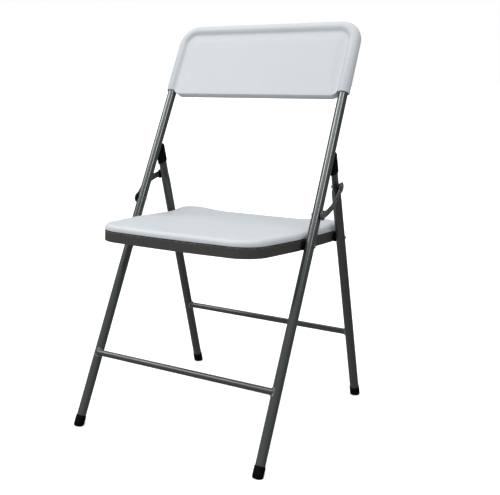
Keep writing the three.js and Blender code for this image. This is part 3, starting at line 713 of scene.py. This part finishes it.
def weld_bead(bar_centre, sign):
    """A lumpy ring of weld where a crossbar meets the tube on one side."""
    along = Vector((sign, 0, 0))
    sides = 12
    rings = []
    for k in range(WELD_STEPS):
        turn = 2 * math.pi * k / WELD_STEPS
        out = Vector((0, math.cos(turn), math.sin(turn)))
        offset = out * (BAR_R + WELD_STAND_OFF) + bar_centre
        offset.y = max(offset.y, -TUBE_R - WELD_AHEAD)
        from_axis = min(abs(offset.y), TUBE_R - 0.2 * MM)
        meet_x = HALF_SPACING - math.sqrt(TUBE_R**2 - from_axis**2)
        lump = 1 + 0.22 * math.sin(13 * turn + sign) + 0.12 * math.sin(5 * turn + 2 * sign)
        middle = Vector((sign * meet_x, 0, 0)) + offset
        ring = []
        for j in range(sides):
            bend = 2 * math.pi * j / sides
            ring.append(middle + (out * math.cos(bend) + along * math.sin(bend)) * WELD_R * lump)
        rings.append(ring)
    return loft(rings, loop=True)


def crossbar(name, place, ahead, height, node):
    """A bar between the tubes, ahead of their centres or in line, with a weld at each end."""
    end_x = HALF_SPACING - (FRONT_BAR_END if ahead else REAR_BAR_END)
    bar_centre = Vector((0, -ahead, height))
    across = place @ Matrix.Translation(bar_centre) @ Matrix.Rotation(math.pi / 2, 4, "Y")
    shoulder = 0.3 * BAR_EDGE
    profile = [(0, -end_x), (BAR_R - BAR_EDGE, -end_x), (BAR_R - shoulder, -end_x + shoulder)]
    profile += [(BAR_R, -end_x + BAR_EDGE), (BAR_R, -end_x + BAR_EDGE + END_BAND)]
    profile += [(r, -z) for r, z in reversed(profile)]
    # the bar wears the darker copy of the frame paint, which is painted shade
    add_piece(name, lathe(profile, ROUND), across, node, material=SHADED_FRAME_PAINT)
    for side, sign in SIDES:
        # the beads wear the lighter paint, which is a painted highlight
        add_piece(f"{name}_weld_{side}", weld_bead(bar_centre, sign), place, node, False, WELD_HIGHLIGHT)


def foot(name, place, sign, lean, node):
    """A rubber ferrule with a groove below its top edge, worn level with the floor."""
    profile = [(0, -FOOT_BELOW)]
    steps = 8
    for k in range(steps + 1):
        turn = math.pi / 2 * (k / steps - 1)
        radius = FOOT_R - FOOT_EDGE_R + FOOT_EDGE_R * math.cos(turn)
        profile.append((radius, -FOOT_BELOW + FOOT_EDGE_R + FOOT_EDGE_R * math.sin(turn)))
    groove = 0.35 * MM
    for inset, below in ((0, 3), (groove, 2.6), (groove, 2.2), (0, 1.8), (0, 0.4), (groove, 0)):
        profile.append((FOOT_R - inset, FOOT_LENGTH - below * MM))
    profile += [(TUBE_R + 0.1 * MM, FOOT_LENGTH), (TUBE_R - 0.2 * MM, FOOT_LENGTH - 0.6 * MM)]
    profile.append((0, FOOT_LENGTH - 0.6 * MM))
    bm = lathe(profile, ROUND)
    floor_normal = Matrix.Rotation(-lean, 3, "X") @ Vector((0, 0, 1))
    cut_level(bm, Vector(), floor_normal, 0.5 * MM)
    add_piece(name, bm, at_x(place, sign * HALF_SPACING), node)


# ---------------------------------------------------------------- pivots


def dome(base, radius, height):
    """The profile of a rivet head standing on its base."""
    ease = 0.15 * MM
    profile = [(radius - ease, base), (radius, base + ease)]
    steps = 8
    for k in range(1, steps + 1):
        turn = math.pi / 2 * k / steps
        across = radius * math.cos(turn) if k < steps else 0
        profile.append((across, base + RIVET_EDGE + (height - RIVET_EDGE) * math.sin(turn)))
    return profile


def tail(base):
    """The profile of a rivet's set end, which faces inwards with a small dimple."""
    dimple_r, dimple_depth = 1.6 * MM, 0.2 * MM
    ease = 0.3 * MM
    low = base - RIVET_TAIL_H
    return [
        (0, low + dimple_depth),
        (dimple_r, low),
        (RIVET_TAIL_R - ease, low),
        (RIVET_TAIL_R, low + ease),
        (RIVET_TAIL_R, base),
        (RIVET_R, base),
    ]


def turned(node, profile, place):
    """A rivet, or half of one, turned from its profile."""
    add_piece(f"{node}_turned", lathe(profile), place, node)


def spacer(node, radius, low, high, place):
    """A plastic collar between two heights on its rivet, with eased corners."""
    bore = RIVET_R + GAP
    ease = min(0.4 * MM, (high - low) / 3)
    profile = [
        (bore, low),
        (radius - ease, low),
        (radius, low + ease),
        (radius, high - ease),
        (radius - ease, high),
        (bore, high),
    ]
    add_piece(f"{node}_moulded", lathe(profile, ROUND, loop=True), place, node)


def pivots():
    """The rivets lie across the chair. Their profiles run outwards from the middle plane."""
    rim_inner = SEAT_HALF_WIDTH - RIM_WALL - GAP
    rim_outer = SEAT_HALF_WIDTH + GAP
    tube_inner = TUBE_INNER_X - GAP
    tube_outer = TUBE_OUTER_X + GAP
    link_inner = LINK_FACES[0] - GAP
    link_outer = LINK_FACES[1] + GAP
    leg_half = mix(TUBE_R, FLAT_HALF[0], smooth(link_rear_s - WASHER_R, *FLAT)) + GAP
    for side, sign in SIDES:
        for pivot, name in ((seat_pivot, "seat_pivot"), (leg_pivot, "leg_pivot")):
            place = pin_place(pivot, sign)
            rivet = tail(rim_inner) + [(RIVET_R, tube_outer)] + dome(tube_outer, *PIVOT_HEAD)
            turned(f"{name}_rivet_{side}", rivet, place)
            spacer(f"{name}_spacer_{side}", SPACER_R, rim_outer, tube_inner, place)
        place = pin_place(link_pivot, sign)
        rivet = tail(tube_inner) + [(RIVET_R, link_outer)] + dome(link_outer, *LINK_HEAD)
        turned(f"front_link_rivet_{side}", rivet, place)
        spacer(f"front_link_spacer_{side}", WASHER_R, tube_outer, link_inner, place)
        place = pin_place(link_rear_pivot, sign)
        shank = tail(HALF_SPACING - leg_half) + [(RIVET_R, link_inner), (0, link_inner)]
        turned(f"rear_link_rivet_shank_{side}", shank, place)
        head = [(0, LINK_FACES[0]), (RIVET_R, LINK_FACES[0]), (RIVET_R, link_outer)]
        turned(f"rear_link_rivet_head_{side}", head + dome(link_outer, *LINK_HEAD), place)
        spacer(f"rear_link_spacer_{side}", WASHER_R, HALF_SPACING + leg_half, link_inner, place)


# ---------------------------------------------------------------- seat


def seat_outline(spacing):
    left = [(-x, y, r) for x, y, r in reversed(SEAT_CORNERS)]
    return outline([SEAT_FRONT] + SEAT_CORNERS + left, spacing, math.radians(5))


def seat_rim():
    """An angle section bent round the seat, given as (inset, height, corner radius)."""
    top, bottom = RIM_HEIGHT / 2, -RIM_HEIGHT / 2
    section = [
        (0, bottom, 0.6 * MM),
        (0, top, 1.1 * MM),
        (RIM_FLANGE, top, 0.4 * MM),
        (RIM_FLANGE, top - RIM_WALL, 0.4 * MM),
        (RIM_WALL, top - RIM_WALL, 0.8 * MM),
        (RIM_WALL, bottom, 0.6 * MM),
    ]
    profile = [pair[0] for pair in outline(section, RIM_SECTION_STEP, math.radians(30))]
    rings = []
    for point, inward in seat_outline(SEAT_STEP):
        rings.append([Vector((*(point + inward * inset), z)) for inset, z in profile])
    add_piece("seat_rim_band", loft(rings, loop=True), SEAT, "seat_rim")


def pad_top(x, y):
    """Height of the pad's upper face: level, with raised rear corners."""
    rise = smooth(y, *PAD_RISE_Y) * smooth(abs(x), *PAD_RISE_X)
    return PAD_BASE + mix(PAD_THICKNESS, PAD_CORNER, rise)


def seat_pad():
    """A moulded pad: its underside from the middle outwards, its nose, and its top inwards."""
    pairs = seat_outline(PAD_STEP)

    def level_ring(inset, lift, scale=1):
        return [Vector((*((p + n * inset * MM) * scale), PAD_BASE + lift * MM)) for p, n in pairs]

    rings = [level_ring(*PAD_UNDERSIDE[0], scale) for scale in (0.02, 0.4, 0.8)]
    rings += [level_ring(inset, lift) for inset, lift in PAD_UNDERSIDE]
    nose_steps = 10
    for k in range(nose_steps + 1):
        turn = math.pi / 2 * k / nose_steps
        row = []
        for point, inward in pairs:
            place = point + inward * PAD_NOSE_R * (1 - math.cos(turn))
            top = pad_top(place.x, place.y)
            row.append(Vector((*place, top - PAD_NOSE_R * (1 - math.sin(turn)))))
        rings.append(row)
    inner = [point + inward * PAD_NOSE_R for point, inward in pairs]
    scales = [1 - 0.03 * k for k in range(1, 18)] + [0.4, 0.3, 0.2, 0.1, 0.02]
    for scale in scales:
        rings.append([Vector((*(point * scale), pad_top(*(point * scale)))) for point in inner])
    add_piece("seat_pad_moulding", loft(rings), SEAT, "seat_pad", sharp=50)


# ---------------------------------------------------------------- rear legs


def oval(half_x, half_y, z):
    return [Vector((half_x * p.x, half_y * p.y, z)) for p in circle(1, ROUND)]


def rear_leg(side, sign):
    """A tube pressed flat at its top."""
    flat_steps = 16
    heights = [TUBE_START, TUBE_START + END_BAND, MID_LEG]
    heights += [mix(*FLAT, k / flat_steps) for k in range(flat_steps + 1)]
    heights += [CAP[0] + CAP_SOCKET - END_BAND, CAP[0] + CAP_SOCKET]
    rings = []
    for height in heights:
        flat = smooth(height, *FLAT)
        rings.append(oval(mix(TUBE_R, FLAT_HALF[0], flat), mix(TUBE_R, FLAT_HALF[1], flat), height))
    place = at_x(REAR, sign * HALF_SPACING)
    # the leg wears the darker copy of the frame paint, which is painted shade
    add_piece(f"rear_leg_{side}_finish", loft(rings), place, f"rear_leg_{side}", material=SHADED_FRAME_PAINT)


def leg_cap(side, sign):
    """An oval cap, cut off along the back of the front tube, with the mouth of its socket."""
    bottom, top = CAP
    wall = CAP_HALF[0] - FLAT_HALF[0] - GAP
    mouth = ((wall, 5), (wall, 0.3), (wall - 0.3 * MM, 0), (0.8 * MM, 0), (0.25 * MM, 0.25), (0, 0.8))
    rows = [(inset, bottom + rise * MM) for inset, rise in mouth]
    steps = 8
    for k in range(steps + 1):
        turn = math.pi / 2 * k / steps
        rows.append((CAP_CROWN * (1 - math.cos(turn)), top - CAP_CROWN * (1 - math.sin(turn))))
    bm = loft([oval(CAP_HALF[0] - inset, CAP_HALF[1] - inset, z) for inset, z in rows])
    to_leg = REAR.inverted() @ FRONT
    point = to_leg @ Vector((0, TUBE_R + GAP, 0))
    normal = to_leg.to_3x3() @ Vector((0, 1, 0))
    cut_level(bm, point, normal, 0.8 * MM)
    add_piece(f"rear_leg_cap_{side}_moulded", bm, at_x(REAR, sign * HALF_SPACING), f"rear_leg_cap_{side}")


# ---------------------------------------------------------------- links


def link_outline(sign):
    """The bowed plate with an eye at each end, anticlockwise in the link's Y and Z."""
    chord = link_reach.length
    radius = ((chord / 2) ** 2 + LINK_BOW**2) / (2 * LINK_BOW)
    spread = math.asin(chord / 2 / radius)
    length = 2 * spread * radius
    bow = -sign  # the right link bows down, and the left one is the same stamping turned over

    def station(along):
        turn = min(max(along, 0), length) / radius - spread
        tangent = Vector((math.cos(turn), -bow * math.sin(turn)))
        rise = radius * math.cos(turn) - radius + LINK_BOW
        middle = Vector((chord / 2 + radius * math.sin(turn), bow * rise))
        beyond = min(along, 0) + max(along - length, 0)
        return middle + tangent * beyond, Vector((-tangent.y, tangent.x))

    def half_width(along):
        from_eye = min(along, length - along)
        eye = math.sqrt(max(LINK_END_R**2 - from_eye**2, 0))
        if from_eye <= 0:
            return eye
        most, reached = LINK_NECK_BLEND
        blend = most * clamp(from_eye / reached)
        waist = LINK_WAIST / 2
        return (eye + waist + math.hypot(eye - waist, blend)) / 2

    eye_steps, neck_step, strip_steps = 10, 1.5 * MM, 16
    start = [-LINK_END_R * math.cos(math.pi / 2 * k / eye_steps) for k in range(1, eye_steps)]
    start += [k * neck_step for k in range(int(LINK_NECK / neck_step))]
    middle = [mix(LINK_NECK, length - LINK_NECK, k / strip_steps) for k in range(strip_steps + 1)]
    alongs = start + middle + [length - along for along in reversed(start)]
    lower = []
    upper = []
    for along in alongs:
        point, normal = station(along)
        lower.append(point - normal * half_width(along))
        upper.append(point + normal * half_width(along))
    tips = [station(-LINK_END_R)[0], station(length + LINK_END_R)[0]]
    return [tips[0]] + lower + [tips[1]] + upper[::-1]


def link_plate(side, sign):
    """A flat stamping with eased edges."""
    points = link_outline(sign)
    normals = []
    for i, point in enumerate(points):
        along = (points[(i + 1) % len(points)] - points[i - 1]).normalized()
        normals.append(Vector((-along.y, along.x)))
    near, far = LINK_FACES
    ease, ease_middle = 0.5 * MM, 0.15 * MM
    rows = [(ease, near), (ease_middle, near + ease_middle), (0, near + ease)]
    rows += [(0, far - ease), (ease_middle, far - ease_middle), (ease, far)]
    rings = []
    for inset, x in rows:
        rings.append([Vector((sign * x, *(p + n * inset))) for p, n in zip(points, normals)])
    add_piece(f"fold_link_{side}_plate", loft(rings), LINK, f"fold_link_{side}")


# ---------------------------------------------------------------- the chair


def screws(side, sign):
    """One through the back of the backrest's sleeve, and two up through the rim's flange."""
    head_y = SLEEVE_R - SCREW_HEAD_H
    at = Matrix.Translation((sign * tube_half_spacing(BACK_SCREW_U), head_y, BACK_SCREW_U))
    towards_back = Matrix.Rotation(-math.pi / 2, 4, "X")
    screw(f"backrest_screw_{side}_turned", FRONT @ at @ towards_back, f"backrest_screw_{side}")
    under_flange = RIM_HEIGHT / 2 - RIM_WALL - GAP
    upside_down = Matrix.Rotation(math.pi, 4, "X")
    for end in ("front", "rear"):
        node = f"seat_screw_{end}_{side}"
        local = SEAT.inverted() @ centre(node)
        at = Matrix.Translation((local.x, local.y, under_flange))
        screw(f"{node}_turned", SEAT @ at @ upside_down, node)


front_tube()
backrest()
crossbar("front_crossbar_pipe", FRONT, FRONT_BAR_AHEAD, front_bar_u, "front_crossbar")
crossbar("rear_crossbar_pipe", REAR, 0, rear_bar_s, "rear_crossbar")
seat_rim()
seat_pad()
pivots()
for side, sign in SIDES:
    foot(f"front_foot_{side}_ferrule", FRONT, sign, -front_lean, f"front_foot_{side}")
    foot(f"rear_foot_{side}_ferrule", REAR, sign, rear_lean, f"rear_foot_{side}")
    rear_leg(side, sign)
    leg_cap(side, sign)
    link_plate(side, sign)
    screws(side, sign)

# ---------------------------------------------------------------- stage, lights and camera

FLOOR_R = 40  # metres, far past the camera's view
SKY_COLOUR = (0.97, 0.99, 1, 1)
BRIGHTEST = (-0.55, -0.45, 0.7)  # where the room is lightest
ROOM_LEVELS = {"From Min": -0.8, "From Max": 0.9, "To Min": 0.27, "To Max": 0.52}
EXTRA_ON_MATT = 0.7  # added share of the room's light on diffuse surfaces


def stage_floor():
    """A plain white floor, lit a little from within so that no horizon shows."""
    bm = bmesh.new()
    bmesh.ops.create_circle(bm, cap_ends=True, segments=96, radius=FLOOR_R)
    mesh = bpy.data.meshes.new("floor")
    bm.to_mesh(mesh)
    bm.free()
    glow = {"Emission_Color": (1, 1, 1, 1), "Emission_Strength": 0.5}
    shader = Shader("floor_paint", Specular_IOR_Level=0.1, **glow)
    shader.place = shader.node("ShaderNodeTexCoord").outputs["Object"]
    mottle = shader.noise(0.4, detail=3)
    shader.colour((0.74, 0.74, 0.74), ((0.76, 0.76, 0.76), shader.ramp(mottle, 0.4, 0.6)))
    shader.roughness(mottle, 0.85, 0.9)
    mesh.materials.append(shader.material)
    floor = bpy.data.objects.new("floor", mesh)
    floor.visible_glossy = False
    floor.visible_diffuse = False
    bpy.context.scene.collection.objects.link(floor)


def soft_box(name, azimuth, distance, heights, width, radiance):
    """A panel that the paint mirrors, at an azimuth from the chair (0 is the front, 90 the
    right), that reaches between two heights and faces the seat."""
    turn = math.radians(azimuth)
    over_seat = Vector((0, 0, 0.5))
    low, high = heights
    middle = Vector((math.sin(turn) * distance, -math.cos(turn) * distance, (low + high) / 2))
    data = bpy.data.lights.new(name, "AREA")
    data.shape = "RECTANGLE"
    data.size = width
    data.size_y = high - low
    data.energy = radiance * math.pi * width * (high - low)
    light = bpy.data.objects.new(name, data)
    light.location = middle
    light.rotation_euler = (middle - over_seat).to_track_quat("Z", "Y").to_euler()
    light.visible_diffuse = False
    bpy.context.scene.collection.objects.link(light)


def room_strength(tree, path):
    """How bright the room is in each direction, and for diffuse rays more than for mirrored ones."""
    towards = tree.nodes.new("ShaderNodeVectorMath")
    towards.operation = "DOT_PRODUCT"
    towards.inputs[1].default_value = Vector(BRIGHTEST).normalized()
    tree.links.new(tree.nodes.new("ShaderNodeTexCoord").outputs["Generated"], towards.inputs[0])
    level = tree.nodes.new("ShaderNodeMapRange")
    for socket, value in ROOM_LEVELS.items():
        level.inputs[socket].default_value = value
    tree.links.new(towards.outputs["Value"], level.inputs["Value"])
    gain = tree.nodes.new("ShaderNodeMath")
    gain.operation = "MULTIPLY_ADD"
    gain.inputs[1].default_value = EXTRA_ON_MATT
    gain.inputs[2].default_value = 1
    tree.links.new(path.outputs["Is Diffuse Ray"], gain.inputs[0])
    strength = tree.nodes.new("ShaderNodeMath")
    strength.operation = "MULTIPLY"
    tree.links.new(gain.outputs["Value"], strength.inputs[0])
    tree.links.new(level.outputs["Result"], strength.inputs[1])
    return strength.outputs["Value"]


def studio_world():
    """White where the camera sees it, and otherwise a dim room, lighter to the chair's front left."""
    world = bpy.data.worlds.new("studio")
    bpy.context.scene.world = world
    world.use_nodes = True
    tree = world.node_tree
    tree.nodes.clear()
    path = tree.nodes.new("ShaderNodeLightPath")
    room = tree.nodes.new("ShaderNodeBackground")
    room.inputs["Color"].default_value = SKY_COLOUR
    tree.links.new(room_strength(tree, path), room.inputs["Strength"])
    backdrop = tree.nodes.new("ShaderNodeBackground")
    backdrop.inputs["Color"].default_value = (1, 1, 1, 1)
    chosen = tree.nodes.new("ShaderNodeMixShader")
    output = tree.nodes.new("ShaderNodeOutputWorld")
    tree.links.new(path.outputs["Is Camera Ray"], chosen.inputs["Fac"])
    tree.links.new(room.outputs[0], chosen.inputs[1])
    tree.links.new(backdrop.outputs[0], chosen.inputs[2])
    tree.links.new(chosen.outputs[0], output.inputs["Surface"])


def studio():
    """Two tall boxes that the paint mirrors as streaks, a soft light from above, and the room."""
    soft_box("left_box", azimuth=-57, distance=2.4, heights=(2.1, 3.9), width=1.3, radiance=7.6)
    soft_box("right_box", azimuth=58, distance=2.4, heights=(1.9, 3.3), width=0.8, radiance=6.2)
    sky = bpy.data.lights.new("sky", "SUN")
    sky.energy = 2
    sky.angle = math.radians(80)
    sun = bpy.data.objects.new("sky", sky)
    sun.rotation_euler = (math.radians(8), math.radians(-8), 0)
    bpy.context.scene.collection.objects.link(sun)
    studio_world()


def camera():
    """In front of the chair and to its right, looking slightly down."""
    azimuth, elevation, roll = math.radians(31.949), math.radians(10.237), math.radians(-0.225)
    data = bpy.data.cameras.new("camera")
    data.sensor_width = 36
    data.lens = 58.04
    data.shift_x = 0.0666
    data.shift_y = -0.0573
    view = bpy.data.objects.new("camera", data)
    aim = Matrix.Rotation(azimuth, 4, "Z") @ Matrix.Rotation(math.pi / 2 - elevation, 4, "X")
    place = Matrix.Translation((0.85503, -1.39434, 0.71066))
    view.matrix_world = place @ aim @ Matrix.Rotation(roll, 4, "Z")
    bpy.context.scene.collection.objects.link(view)
    bpy.context.scene.camera = view


stage_floor()
studio()
camera()
bpy.context.scene.view_settings.view_transform = "Standard"
